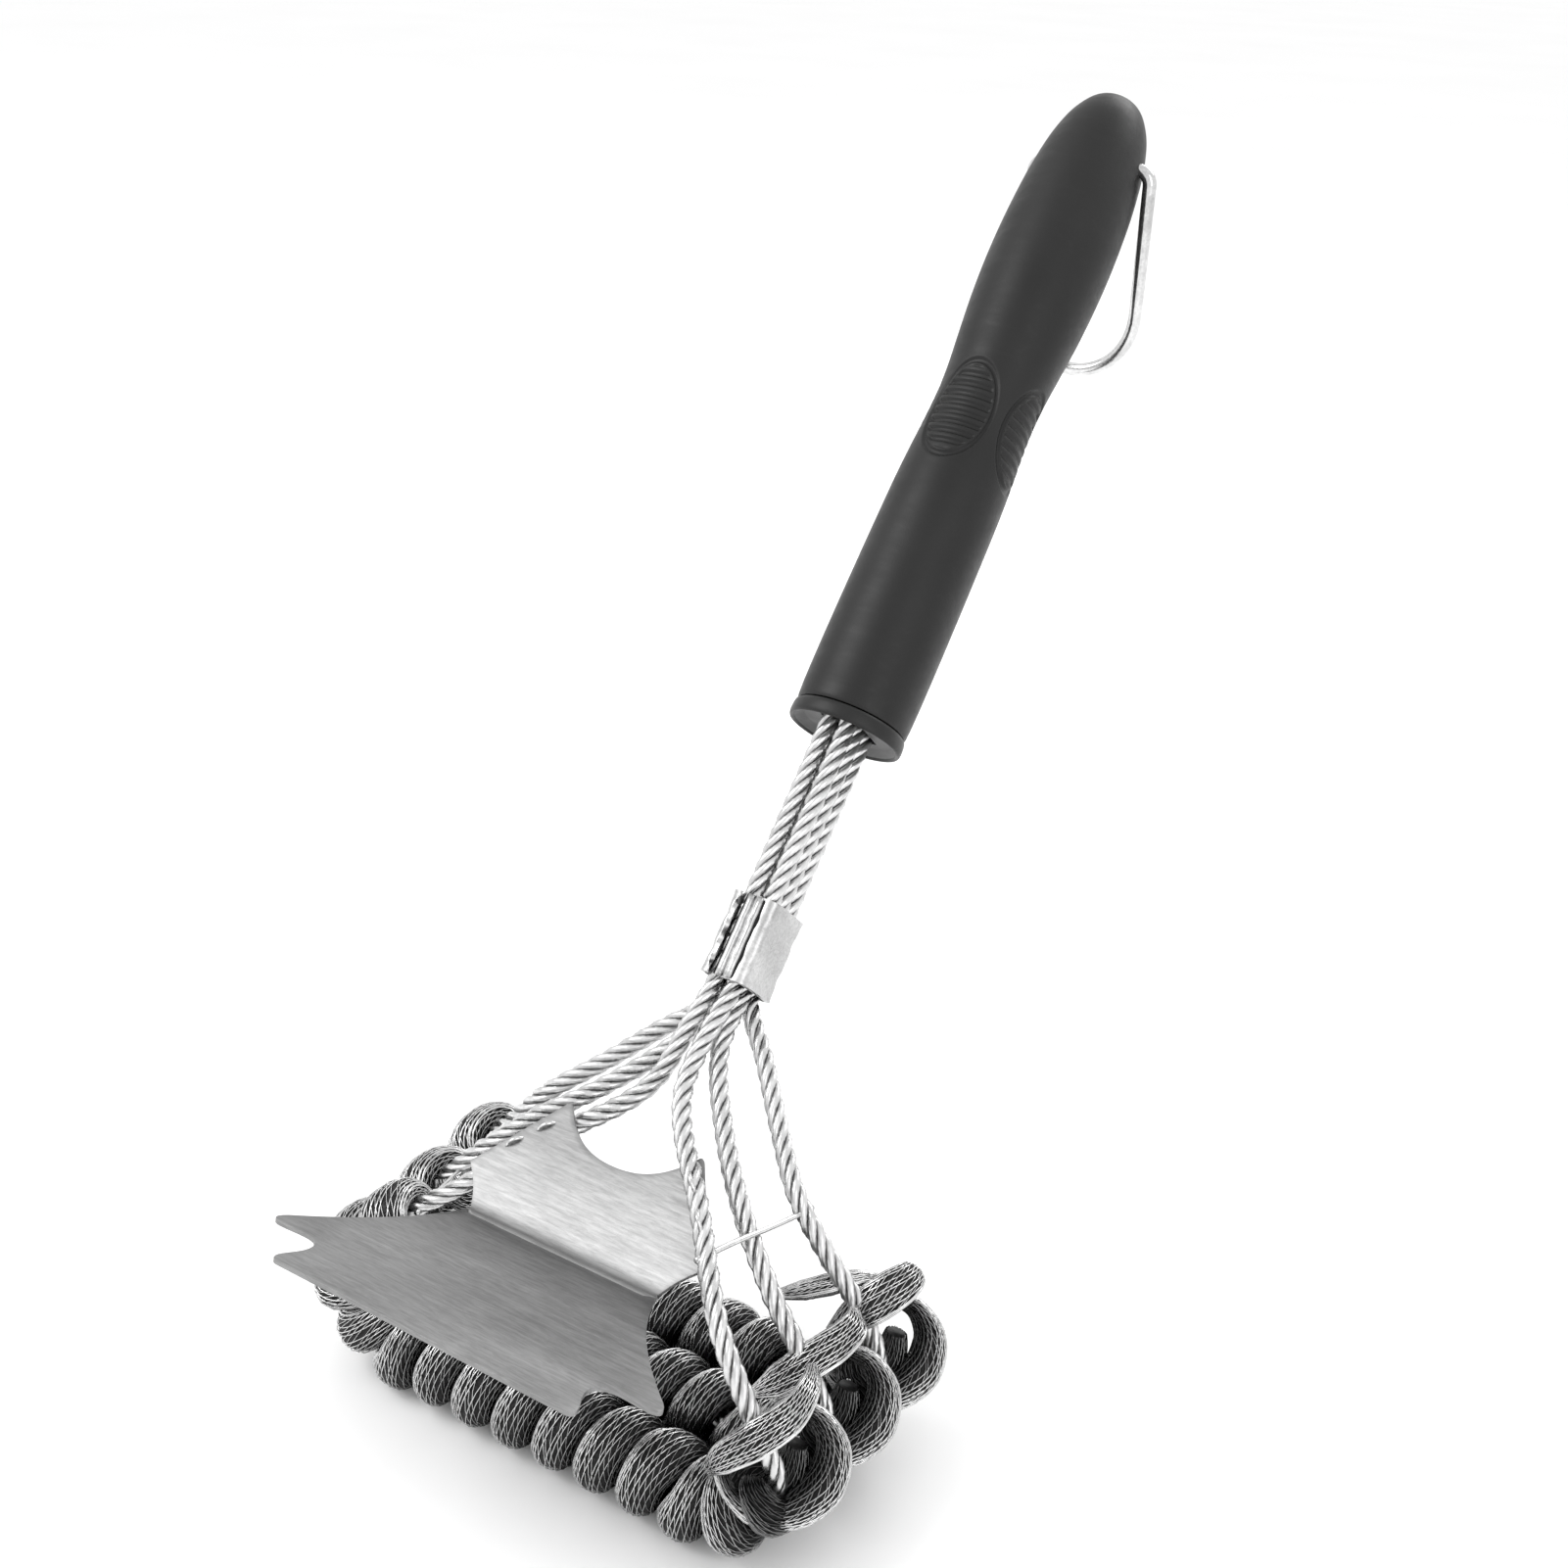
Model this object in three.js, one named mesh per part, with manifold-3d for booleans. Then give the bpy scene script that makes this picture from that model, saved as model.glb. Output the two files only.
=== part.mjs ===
// Grill cleaning brush: three woven wire rows on twisted rope loops, a bent scraper, a crimped
// ferrule, a hollow moulded handle and a swinging hanging loop. Millimetres, +Z up.
// Origin: centre of the flat underside of the middle row. +X along the rows, -Y the scraper side.
import * as THREE from 'three';
import Module from 'manifold-3d';
import { mergeVertices } from 'three/addons/utils/BufferGeometryUtils.js';

const wasm = await Module();
wasm.setup();

// ---- driving dimensions (mm) ----
const GAP = 0.3;                 // clearance between touching parts
const ROPE_R = 2.7;              // twisted rope, envelope radius
const ROPE_PITCH = 5.7;          // centre distance of ropes in the neck bundle
const ROW_GAP = 23.6;            // spacing of the three rows
const ROW_AXIS_Z = 11;           // rope height inside a row
const ROW_HALF_WIDTH = 11.55;    // half of a row across Y
const ROW_RISE = 12.4;           // row crown above its rope
const BORE_R = 4.1;              // rope bore through a row, wider than the rope for its bends
const LOBE_PITCH = 13.1;         // spacing of the woven lobes along a row
const NECK_TILT = 47.24;         // handle axis above the rows' plane, degrees
const FERRULE_LENGTH = 23.3;
const NECK_LENGTH = 51.2;        // rope left bare between ferrule and handle
const FERRULE_BOTTOM = new THREE.Vector3(0, 54.9, 99.3);
const HANDLE_LENGTH = 210;
const HANDLE_WALL_R = 12.4;      // radius of the handle's inner bore
const COLLAR_LENGTH = 4.5;
const SHEET = 1.2;               // scraper sheet thickness
const BAIL_R = 2.0;              // hanging-loop wire radius
const BAIL_H = 188;              // pivot height along the handle
const BAIL_HALF = 18.6;          // half width of the hanging loop
const BAIL_DROP = 60;            // pivot to far end of the loop
const TIE_ROD_R = 0.75;

// Handle outline: height above the lower rim, radius.
const HANDLE_PROFILE = [[COLLAR_LENGTH + GAP, 15.7], [6, 16], [70, 16], [85, 15.5], [94, 15],
  [103, 14.7], [112, 15], [122, 15.9], [135, 17], [150, 17.6], [165, 17.4], [180, 16.4],
  [193, 14.4], [202, 11.4], [208, 7], [HANDLE_LENGTH, 0]];

// Right-hand leg of each loop, from just below the ferrule to the row's end bend. The front loop's
// right leg is bowed forward so that it lies over the scraper; its left leg runs under the scraper.
const FRONT_LEFT_LEG = [[2.95, 39.2, 95.3], [5.1, 24, 83.1], [24.2, 5.5, 69.2], [41.6, -11.4, 55.6],
  [59.4, -22.8, 42], [66.7, -23.6, 25.9]];
const LEGS = {
  front: [[2.95, 39.2, 95.3], [7, 21.4, 85.9], [30.3, -3.6, 74.7], [47.6, -20.4, 60.7],
    [60.4, -24.4, 42.9], [66.7, -23.6, 25.9]],
  middle: [[6.0, 39.5, 89.1], [19.2, 23, 77.9], [34.8, 9, 67.9], [47.6, 2.4, 55.3],
    [58.9, 0, 41.6], [65.6, 0, 26.1]],
  back: [[15.3, 46.8, 86.1], [27.6, 35.5, 76.1], [39.7, 25.4, 66.8], [49.8, 23.8, 55],
    [60.6, 23.6, 42.1], [66.4, 23.6, 26.5]],
};
const LAYER = { front: -1, middle: 0, back: 1 };

// ---- materials ----
const steel = (hex, rough) => new THREE.MeshStandardMaterial({ color: hex, roughness: rough, metalness: 1 });
const ROPE_MAT = steel(0xc9cbcc, 0.3);
const MESH_MAT = steel(0xb9bbbd, 0.35);
const SHEET_MAT = steel(0xb4b6b8, 0.4);
const WIRE_MAT = steel(0xd2d4d6, 0.25);
const GRIP_MAT = new THREE.MeshStandardMaterial({ color: 0x2e2f31, roughness: 0.6, metalness: 0 });
const COLLAR_MAT = new THREE.MeshStandardMaterial({ color: 0x353638, roughness: 0.55, metalness: 0 });

// ---- helpers ----
const V = (x, y, z) => new THREE.Vector3(x, y, z);
const part = new THREE.Group();
part.name = 'grill_cleaning_brush';

function addMesh(name, geometry, material) {
  const mesh = new THREE.Mesh(geometry, material);
  mesh.name = name;
  part.add(mesh);
  return mesh;
}

function toManifold(geometry) {
  const g = geometry.clone();
  g.deleteAttribute('normal');
  g.deleteAttribute('uv');
  const m = mergeVertices(g, 1e-4);
  return new wasm.Manifold(new wasm.Mesh({
    numProp: 3,
    vertProperties: new Float32Array(m.attributes.position.array),
    triVerts: new Uint32Array(m.index.array),
  }));
}

function fromManifold(solid) {
  const mesh = solid.getMesh();
  const g = new THREE.BufferGeometry();
  g.setAttribute('position', new THREE.BufferAttribute(new Float32Array(mesh.vertProperties), 3));
  g.setIndex(new THREE.BufferAttribute(new Uint32Array(mesh.triVerts), 1));
  return g;
}

const cut = (geometry, ...tools) => fromManifold(
  tools.reduce((body, tool) => body.subtract(toManifold(tool)), toManifold(geometry)));
const join = (geometry, ...others) => fromManifold(
  others.reduce((body, other) => body.add(toManifold(other)), toManifold(geometry)));

// Closed skin over a list of rings (arrays of points). With `inner` rings it becomes a sleeve.
function skin(outer, inner = null) {
  const pos = [];
  const idx = [];
  const n = outer[0].length;
  const push = (rings) => {
    const base = pos.length / 3;
    rings.forEach((ring) => ring.forEach((p) => pos.push(p.x, p.y, p.z)));
    return base;
  };
  const wall = (base, count, flip) => {
    for (let i = 0; i < count - 1; i += 1) {
      for (let j = 0; j < n; j += 1) {
        const a = base + i * n + j;
        const b = base + i * n + ((j + 1) % n);
        const quad = [a, b, b + n, a, b + n, a + n];
        idx.push(...(flip ? quad.reverse() : quad));
      }
    }
  };
  const o = push(outer);
  wall(o, outer.length, false);
  const last = (outer.length - 1) * n;
  if (inner) {
    const q = push(inner);
    wall(q, inner.length, true);
    for (let j = 0; j < n; j += 1) {
      const k = (j + 1) % n;
      idx.push(o + j, q + k, o + k, o + j, q + j, q + k);
      idx.push(o + last + j, o + last + k, q + last + k, o + last + j, q + last + k, q + last + j);
    }
  } else {
    for (let j = 1; j < n - 1; j += 1) {
      idx.push(o, o + j + 1, o + j);
      idx.push(o + last, o + last + j, o + last + j + 1);
    }
  }
  const g = new THREE.BufferGeometry();
  g.setAttribute('position', new THREE.BufferAttribute(new Float32Array(pos), 3));
  g.setIndex(idx);
  return g;
}

// Round rod through a list of points, with a frame carried along it.
function rod(points, radius, sides = 8) {
  let side = null;
  const rings = points.map((p, i) => {
    const t = points[Math.min(i + 1, points.length - 1)].clone()
      .sub(points[Math.max(i - 1, 0)]).normalize();
    if (!side) side = (Math.abs(t.x) < 0.9 ? V(1, 0, 0) : V(0, 1, 0));
    side = side.clone().addScaledVector(t, -side.dot(t)).normalize();
    const up = t.clone().cross(side);
    return Array.from({ length: sides }, (_, j) => {
      const a = (2 * Math.PI * (j + 0.5)) / sides;
      return p.clone().addScaledVector(side, radius * Math.cos(a)).addScaledVector(up, radius * Math.sin(a));
    });
  });
  return skin(rings);
}

// Frame of the neck and handle: local Z runs up the handle, local -Y faces up and forward.
const tilt = THREE.MathUtils.degToRad(NECK_TILT);
const UP_HANDLE = V(0, Math.cos(tilt), Math.sin(tilt));
const HANDLE_START = FERRULE_BOTTOM.clone().addScaledVector(UP_HANDLE, FERRULE_LENGTH + NECK_LENGTH);
const handleFrame = new THREE.Matrix4().makeBasis(
  V(1, 0, 0), UP_HANDLE.clone().cross(V(1, 0, 0)), UP_HANDLE).setPosition(HANDLE_START);
const onHandle = (geometry) => geometry.applyMatrix4(handleFrame);
const handlePoint = (x, y, h) => V(x, y, h).applyMatrix4(handleFrame);
const lathe = (profile, segments = 24) => new THREE.LatheGeometry(
  profile.map(([h, r]) => new THREE.Vector2(r, h)), segments).rotateX(Math.PI / 2);
const cylinder = (r, from, to, segments = 24) => new THREE.CylinderGeometry(r, r, to - from, segments)
  .rotateX(Math.PI / 2).translate(0, 0, (from + to) / 2);

// ---- rope loops ----
const mirrored = (p) => V(-p.x, p.y, p.z);
const loops = {};
Object.entries(LAYER).forEach(([name, layer]) => {
  const neck = [34, 4, -30, -60, -71, -FERRULE_LENGTH - NECK_LENGTH - 1.5].map(
    (h) => handlePoint(ROPE_PITCH / 2, layer * ROPE_PITCH, h));
  const leg = LEGS[name].map(([x, y, z]) => V(x, y, z));
  const run = [52, 34, 14].map((x) => V(x, layer * ROW_GAP, ROW_AXIS_Z));
  const other = (layer < 0 ? FRONT_LEFT_LEG : LEGS[name]).map(([x, y, z]) => V(x, y, z));
  const left = [...neck, ...other, ...run].reverse().map(mirrored);
  loops[name] = new THREE.CatmullRomCurve3([...neck, ...leg, ...run, ...left], false, 'centripetal');
  loops[name].arcLengthDivisions = 800;
});

const stretch = (curve, from, to, count) => Array.from({ length: count + 1 },
  (_, i) => curve.getPointAt(from + ((to - from) * i) / count));

// Arc-length fraction at which a loop first meets a test, followed from its right or left end.
function fractionWhere(curve, test, fromLeft = false) {
  for (let u = 0; u < 0.5; u += 0.0005) {
    const p = curve.getPointAt(fromLeft ? 1 - u : u);
    if (test(fromLeft ? mirrored(p) : p)) return fromLeft ? 1 - u : u;
  }
  return 0.5;
}

// Thin rods that tie the three legs of each side together, from front to back.
const TIE_RODS = {
  left: [V(-47.2, -19.5, 50.9), V(-53.4, 27.5, 51.5)],
  right: [V(36.1, -13.8, 70.9), V(42.9, 27.7, 63.5)],
};
function tieRod(side, radius, extra = 0) {
  const [a, b] = TIE_RODS[side];
  const d = b.clone().sub(a).normalize().multiplyScalar(extra);
  return rod([a.clone().sub(d), b.clone().add(d)], radius);
}

// Scraper planes: both pass through the fold line.
const FOLD = V(0, -18.85, 60.2);
const FOLD_HALF = 28.9;
const LOWER_DIR = V(0, -0.9768, 0.2142);
const UPPER_DIR = V(0, 0.8572, 0.515);
const panelFrame = (dir) => new THREE.Matrix4().makeBasis(V(1, 0, 0), dir,
  V(1, 0, 0).cross(dir)).setPosition(FOLD);

// Staple wire: a closed oval driven through an ear and between the strands of a front leg, at
// distance v above the fold. Its two punched holes lie one behind the other along the leg.
const STAPLES = [28, 20];
const STAPLE_R = 0.55;
function staple(sign, v, wire) {
  const n = V(1, 0, 0).cross(UPPER_DIR);
  const reaches = (p) => p.z < 92.5 && p.clone().sub(FOLD).dot(UPPER_DIR) < v;
  const u = fractionWhere(loops.front, reaches, sign < 0);
  const p = loops.front.getPointAt(u);
  const t = loops.front.getTangentAt(u);
  t.addScaledVector(n, -t.dot(n)).normalize();
  const sheet = -p.clone().sub(FOLD).dot(n);
  const top = Math.max(ROPE_R + 0.9, sheet + 1.6);
  const bottom = Math.min(-ROPE_R - 0.9, sheet - 1.6);
  const centre = p.clone().addScaledVector(n, (top + bottom) / 2);
  const steps = 14;
  const sides = 5;
  const across = t.clone().cross(n);
  const path = (a) => centre.clone().addScaledVector(t, 3.4 * Math.cos(a))
    .addScaledVector(n, ((top - bottom) / 2) * Math.sin(a));
  const pos = [];
  const idx = [];
  for (let i = 0; i < steps; i += 1) {
    const a = (2 * Math.PI * i) / steps;
    const along = path(a + 0.01).sub(path(a - 0.01)).normalize();
    const side = along.clone().cross(across);
    for (let j = 0; j < sides; j += 1) {
      const b = (2 * Math.PI * j) / sides;
      const q = path(a).addScaledVector(across, wire * Math.cos(b)).addScaledVector(side, wire * Math.sin(b));
      pos.push(q.x, q.y, q.z);
      const [a0, a1] = [i * sides + j, i * sides + ((j + 1) % sides)];
      const next = ((i + 1) % steps) * sides;
      const [b0, b1] = [next + j, next + ((j + 1) % sides)];
      idx.push(a0, a1, b1, a0, b1, b0);
    }
  }
  const g = new THREE.BufferGeometry();
  g.setAttribute('position', new THREE.BufferAttribute(new Float32Array(pos), 3));
  g.setIndex(idx);
  return g;
}

Object.entries(loops).forEach(([name, curve]) => {
  const total = curve.getLength();
  const pastBend = (p) => p.x < 38 && p.z < 17.5;
  const [bendRight, bendLeft] = [fractionWhere(curve, pastBend), fractionWhere(curve, pastBend, true)];
  const slip = (GAP / 2) / total;
  const halves = [['right_leg', 0, bendRight - slip], ['run', bendRight + slip, bendLeft - slip],
    ['left_leg', bendLeft + slip, 1]];
  halves.forEach(([suffix, from, to]) => {
    const straight = suffix === 'run';
    let g = rod(stretch(curve, from, to, straight ? 2 : 28), ROPE_R);
    if (!straight) {
      const sign = suffix === 'right_leg' ? 1 : -1;
      const holes = [tieRod(suffix.replace('_leg', ''), TIE_ROD_R + GAP, 4)];
      if (name === 'front') holes.push(...STAPLES.map((v) => staple(sign, v, STAPLE_R + GAP)));
      g = cut(g, ...holes);
    }
    addMesh(`${name}_${suffix}`, g, ROPE_MAT);
  });
});

Object.keys(TIE_RODS).forEach((side) => addMesh(`${side}_tie_rod`, tieRod(side, TIE_ROD_R), WIRE_MAT));

// ---- woven rows ----
// A sleeve round the run and both end bends, pinched between lobes and flattened underneath.
function wovenRow(name) {
  const curve = loops[name];
  const total = curve.getLength();
  const onLegEnd = (p) => p.z < 41;
  const start = fractionWhere(curve, onLegEnd);
  const end = fractionWhere(curve, onLegEnd, true);
  const length = total * (end - start);
  const count = 2 * Math.round(length / LOBE_PITCH);
  const sides = 12;
  const halfStep = Math.PI / sides;
  const toFlats = 1 / Math.cos(halfStep);
  const outer = [];
  const inner = [];
  for (let i = 0; i <= count; i += 1) {
    // inner rings sit off centre, so the middle of the underside is inside one flat facet
    const step = i === 0 || i === count ? i : i + 0.35;
    const u = start + ((end - start) * step) / count;
    const p = curve.getPointAt(u);
    const t = curve.getTangentAt(u);
    const out = V(0, 1, 0).cross(t).normalize().negate();
    const fromEnd = (Math.min(i, count - i) / count) * length;
    const taper = Math.min(1, 0.5 + 0.5 * Math.sqrt(fromEnd / 16));
    const pinch = i % 2 === 0 ? 0.9 : 1;
    const ring = (ry, below, above) => Array.from({ length: sides }, (_, j) => {
      const a = (2 * Math.PI * j) / sides + halfStep;
      const rz = Math.sin(a) > 0 ? below : above;
      const q = p.clone().addScaledVector(V(0, 1, 0), ry * Math.cos(a))
        .addScaledVector(out, rz * Math.sin(a));
      return q;
    });
    const width = ROW_HALF_WIDTH * toFlats * taper;
    const rise = ROW_RISE * toFlats * taper * pinch;
    const reach = rise + (ROW_AXIS_Z * 1.07 - rise) * Math.max(0, -out.z);
    const outline = ring(width * pinch, reach, rise);
    outer.push(outline.map((q) => V(q.x, q.y, Math.max(q.z, 0))));
    inner.push(ring(BORE_R, BORE_R, BORE_R));
  }
  return skin(outer, inner);
}
Object.keys(loops).forEach((name) => addMesh(`${name}_mesh`, wovenRow(name), MESH_MAT));

// ---- bands round the six-rope bundle ----
const BUNDLE_X = ROPE_PITCH / 2 + ROPE_R + GAP;
const BUNDLE_Y = ROPE_PITCH + ROPE_R + GAP;
function roundedOutline(x, y, r) {
  const s = new THREE.Shape();
  s.moveTo(-x + r, -y);
  s.lineTo(x - r, -y);
  s.quadraticCurveTo(x, -y, x, -y + r);
  s.lineTo(x, y - r);
  s.quadraticCurveTo(x, y, x - r, y);
  s.lineTo(-x + r, y);
  s.quadraticCurveTo(-x, y, -x, y - r);
  s.lineTo(-x, -y + r);
  s.quadraticCurveTo(-x, -y, -x + r, -y);
  return s;
}
function bundleBand(from, length, wall) {
  const shape = roundedOutline(BUNDLE_X + wall, BUNDLE_Y + wall, 2.6);
  shape.holes.push(roundedOutline(BUNDLE_X, BUNDLE_Y, 1.6));
  return new THREE.ExtrudeGeometry(shape, { depth: length, bevelEnabled: false, curveSegments: 5 })
    .translate(0, 0, from);
}

// Ferrule: a crimped strip whose seam stays open beside the front left rope, with two rolled lips.
{
  const wall = 1.3;
  const middle = -NECK_LENGTH - FERRULE_LENGTH / 2;
  const band = bundleBand(-NECK_LENGTH - FERRULE_LENGTH, FERRULE_LENGTH, wall);
  const seam = new THREE.BoxGeometry(3.4, 4, FERRULE_LENGTH + 2).translate(-2.6, -BUNDLE_Y - 1.2, middle);
  const lips = [-0.2, 2.2].map((x) => new THREE.CylinderGeometry(0.55, 0.55, FERRULE_LENGTH - 0.6, 8)
    .rotateX(Math.PI / 2).translate(x, -BUNDLE_Y - wall, middle));
  addMesh('ferrule', onHandle(join(cut(band, seam), ...lips)), SHEET_MAT);
}

// ---- scraper: forked lower panel, folded upper panel with two ears along the front legs ----
function lowerPanel() {
  const s = new THREE.Shape();
  const side = (k) => (k > 0
    ? () => {
      s.lineTo(FOLD_HALF, -0.4);
      s.bezierCurveTo(33, 13, 42, 24, 55.8, 36);
      s.quadraticCurveTo(58.4, 38.6, 55.6, 39.8);
      s.bezierCurveTo(50, 40.2, 43, 37.5, 41.2, 42.6);
      s.bezierCurveTo(40.4, 47, 45.5, 50.2, 43.8, 52.6);
      s.lineTo(41.6, 53.2);
    }
    : () => {
      s.lineTo(-41.6, 53.2);
      s.lineTo(-43.8, 52.6);
      s.bezierCurveTo(-45.5, 50.2, -40.4, 47, -41.2, 42.6);
      s.bezierCurveTo(-43, 37.5, -50, 40.2, -55.6, 39.8);
      s.quadraticCurveTo(-58.4, 38.6, -55.8, 36);
      s.bezierCurveTo(-42, 24, -33, 13, -FOLD_HALF, -0.4);
    });
  s.moveTo(-FOLD_HALF, -0.4);
  side(1)();
  side(-1)();
  return s;
}

function upperPanel() {
  const s = new THREE.Shape();
  const right = () => {
    s.bezierCurveTo(8, 24.3, 14, 27, 19.6, 34.5);
    s.quadraticCurveTo(20.4, 35.6, 21.4, 34.3);
    s.lineTo(36.8, 10.8);
    s.bezierCurveTo(33.5, 8.5, 31, 5, FOLD_HALF, -0.4);
  };
  s.moveTo(-FOLD_HALF, -0.4);
  s.bezierCurveTo(-31, 5, -33.5, 8.5, -36.8, 10.8);
  s.lineTo(-21.4, 34.3);
  s.quadraticCurveTo(-20.4, 35.6, -19.6, 34.5);
  s.bezierCurveTo(-14, 27, -8, 24.3, 0, 24.3);
  right();
  s.lineTo(-FOLD_HALF, -0.4);
  return s;
}

const panel = (shape, dir) => new THREE.ExtrudeGeometry(shape,
  { depth: SHEET, bevelEnabled: false, curveSegments: 8 })
  .translate(0, 0, -SHEET / 2).applyMatrix4(panelFrame(dir));
{
  const blade = join(panel(lowerPanel(), LOWER_DIR), panel(upperPanel(), UPPER_DIR));
  const holes = [-1, 1].flatMap((sign) => STAPLES.map((v) => staple(sign, v, STAPLE_R + GAP)));
  addMesh('scraper_blade', cut(blade, ...holes), SHEET_MAT);
  [['left', -1], ['right', 1]].forEach(([side, sign]) => {
    addMesh(`${side}_upper_staple`, staple(sign, STAPLES[0], STAPLE_R), WIRE_MAT);
    addMesh(`${side}_lower_staple`, staple(sign, STAPLES[1], STAPLE_R), WIRE_MAT);
  });
}

// ---- handle ----
const widen = (profile, by) => profile.map(([h, r]) => [h, Math.max(r + by, 0)]);
function gripPockets() {
  const centre = 96;
  const [a, b] = [16, 10.2];
  const oval = (x, y) => {
    const s = new THREE.Shape();
    s.absellipse(0, 0, y, x, 0, 2 * Math.PI);
    return s;
  };
  const radial = (shape) => new THREE.ExtrudeGeometry(shape, { depth: 9, bevelEnabled: false, curveSegments: 5 })
    .rotateX(Math.PI / 2).translate(0, -9, centre);
  const rim = oval(a, b);
  rim.holes.push(oval(a - 1.6, b - 1.6));
  let tool = toManifold(radial(rim));
  for (let k = -4; k < 4; k += 1) {
    const h = (k + 0.5) * 3.1;
    const half = (b - 1) * Math.sqrt(1 - (h / (a - 1)) ** 2);
    tool = tool.add(toManifold(new THREE.BoxGeometry(2 * half, 9, 1.3).translate(0, -13.5, centre + h)));
  }
  const core = toManifold(lathe([[60, 0], ...widen(HANDLE_PROFILE.filter(([h]) => h > 60 && h < 140), -0.7),
    [136, 0]]));
  tool = tool.subtract(core);
  return fromManifold(tool);
}
{
  const shell = lathe([[176, 0], [170, HANDLE_WALL_R - 3], [162, HANDLE_WALL_R],
    [COLLAR_LENGTH + GAP, HANDLE_WALL_R], ...HANDLE_PROFILE]);
  const pivot = new THREE.CylinderGeometry(BAIL_R + GAP, BAIL_R + GAP, 60, 16).rotateZ(Math.PI / 2)
    .translate(0, 0, BAIL_H);
  const pockets = [0, 1, 2, 3].map((k) => gripPockets().rotateZ((k * Math.PI) / 2));
  addMesh('handle_grip', onHandle(cut(shell, pivot, ...pockets)), GRIP_MAT);

  const plug = HANDLE_WALL_R - GAP;
  const rim = lathe([[0, 0], [0, 16.1], [0.8, 16.5], [3.6, 16.4], [COLLAR_LENGTH, 15.8], [COLLAR_LENGTH, plug],
    [10, plug], [10, 0]]);
  const slot = new THREE.BoxGeometry(2 * BUNDLE_X, 2 * BUNDLE_Y, 30);
  addMesh('handle_collar', onHandle(cut(rim, cylinder(13.4, -1, 2.5), slot)), COLLAR_MAT);

  addMesh('wire_anchor', onHandle(bundleBand(12, 18, 1.5)), SHEET_MAT);
}

// ---- hanging loop, stored hanging straight down from its pivot ----
{
  const pivot = handlePoint(0, 0, BAIL_H);
  const corner = 4;
  const points = [V(9, 0, 0)];
  for (let i = 0; i <= 4; i += 1) {
    const a = (Math.PI / 2) * (i / 4);
    points.push(V(BAIL_HALF - corner + corner * Math.sin(a), 0, -corner + corner * Math.cos(a)));
  }
  const bendZ = -(BAIL_DROP - BAIL_HALF);
  for (let i = 0; i <= 7; i += 1) {
    const a = (Math.PI / 2) * (i / 8);
    points.push(V(BAIL_HALF * Math.cos(a), 0, bendZ - BAIL_HALF * Math.sin(a)));
  }
  points.push(V(0, 0, -BAIL_DROP));
  const path = [...points, ...points.slice(0, -1).reverse().map(mirrored)];
  addMesh('hang_loop', rod(path.map((p) => p.clone().add(pivot)), BAIL_R, 10), WIRE_MAT);
}

export default part;
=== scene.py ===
"""Grill cleaning brush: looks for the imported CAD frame. Lengths are in mm until new_mesh."""
import math
import bpy
import numpy as np
from mathutils import Matrix, Vector


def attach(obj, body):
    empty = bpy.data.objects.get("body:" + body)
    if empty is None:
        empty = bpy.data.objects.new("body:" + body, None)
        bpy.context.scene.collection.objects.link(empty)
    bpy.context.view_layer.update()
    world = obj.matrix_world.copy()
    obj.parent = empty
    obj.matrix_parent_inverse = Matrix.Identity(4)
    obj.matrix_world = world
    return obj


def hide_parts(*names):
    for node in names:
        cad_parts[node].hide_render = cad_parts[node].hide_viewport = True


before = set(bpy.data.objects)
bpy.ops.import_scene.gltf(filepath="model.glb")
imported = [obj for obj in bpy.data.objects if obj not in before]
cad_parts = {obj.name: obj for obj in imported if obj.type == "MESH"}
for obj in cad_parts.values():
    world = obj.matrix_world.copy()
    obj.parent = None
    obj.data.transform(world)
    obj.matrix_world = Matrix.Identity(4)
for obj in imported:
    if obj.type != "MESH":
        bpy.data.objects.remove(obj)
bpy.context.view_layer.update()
rng = np.random.default_rng(7)

# ---- dimensions shared with the CAD, mm ----
ROPE_R = 2.7
ROPE_PITCH = 5.7
GAP = 0.3
BUNDLE_HALF_X = ROPE_PITCH / 2 + ROPE_R + GAP        # half-size of the slot round the six ropes
BUNDLE_HALF_Y = ROPE_PITCH + ROPE_R + GAP
ROW_GAP = 23.6
ROW_AXIS_Z = 11.0
LOBE_PITCH = 13.1
NECK_TILT = math.radians(47.24)
FERRULE_LENGTH = 23.3
NECK_LENGTH = 51.2
FERRULE_BOTTOM = np.array([0, 54.9, 99.3])
BORE_R = 12.4
SHEET = 1.2
BAIL_R, BAIL_H, BAIL_HALF, BAIL_DROP = 2.0, 188.0, 18.6, 60.0
HANDLE_PROFILE = [[4.8, 15.7], [6, 16], [70, 16], [85, 15.5], [94, 15], [103, 14.7], [112, 15],
                  [122, 15.9], [135, 17], [150, 17.6], [165, 17.4], [180, 16.4], [193, 14.4],
                  [202, 11.4], [208, 7], [210, 0]]
LEGS = {
    "front": [[2.95, 39.2, 95.3], [7, 21.4, 85.9], [30.3, -3.6, 74.7], [47.6, -20.4, 60.7],
              [60.4, -24.4, 42.9], [66.7, -23.6, 25.9]],
    "middle": [[6.0, 39.5, 89.1], [19.2, 23, 77.9], [34.8, 9, 67.9], [47.6, 2.4, 55.3],
               [58.9, 0, 41.6], [65.6, 0, 26.1]],
    "back": [[15.3, 46.8, 86.1], [27.6, 35.5, 76.1], [39.7, 25.4, 66.8], [49.8, 23.8, 55],
             [60.6, 23.6, 42.1], [66.4, 23.6, 26.5]],
}
FRONT_LEFT_LEG = [[2.95, 39.2, 95.3], [5.1, 24, 83.1], [24.2, 5.5, 69.2], [41.6, -11.4, 55.6],
                  [59.4, -22.8, 42], [66.7, -23.6, 25.9]]
LAYER = {"front": -1, "middle": 0, "back": 1}
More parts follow.
